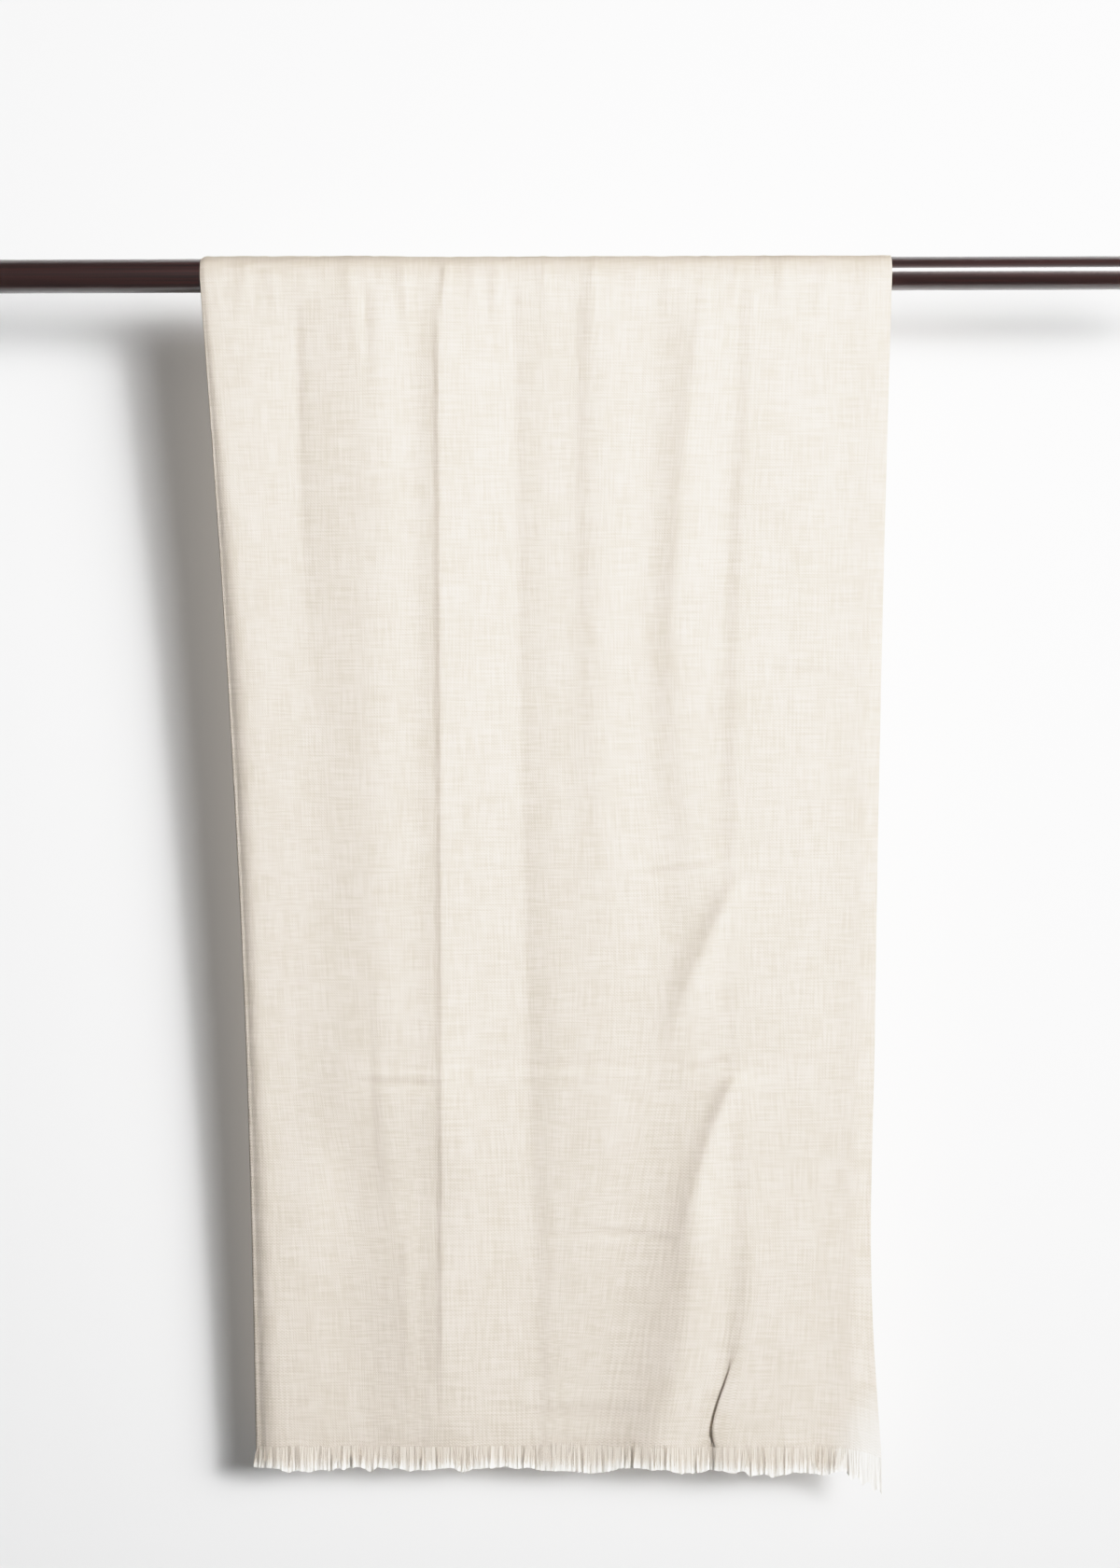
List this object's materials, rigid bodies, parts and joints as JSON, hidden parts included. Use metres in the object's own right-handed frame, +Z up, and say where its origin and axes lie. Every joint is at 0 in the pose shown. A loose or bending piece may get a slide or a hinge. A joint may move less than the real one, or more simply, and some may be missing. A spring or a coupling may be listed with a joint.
{
  "type": "merino shawl hung on a round rail",
  "caption": "Plain-woven cream merino shawl with eyelash-fringed ends, folded along one side and draped over a dark round rail.",
  "frame": {"origin": "on the rail's axis, halfway along the rail, under the shawl: the place where the rail is held up", "axes": "+X along the rail, to the right as the front fall is faced; +Y towards the back fall; +Z up"},
  "size_m": [1.1, 0.0431, 1.0153],
  "materials": {
    "merino_cloth": "matt plain-woven merino, slightly slubbed, with a faint nap",
    "merino_fringe": "loose matt merino yarn ends",
    "rail_lacquer": "glossy dark red-brown lacquer on turned hardwood"
  },
  "bodies": {
    "root": {"rail": "rail_lacquer", "shawl_front": "merino_cloth", "shawl_back": "merino_cloth", "fringe_front": "merino_fringe", "fringe_back": "merino_fringe"}
  },
  "joints": []
}
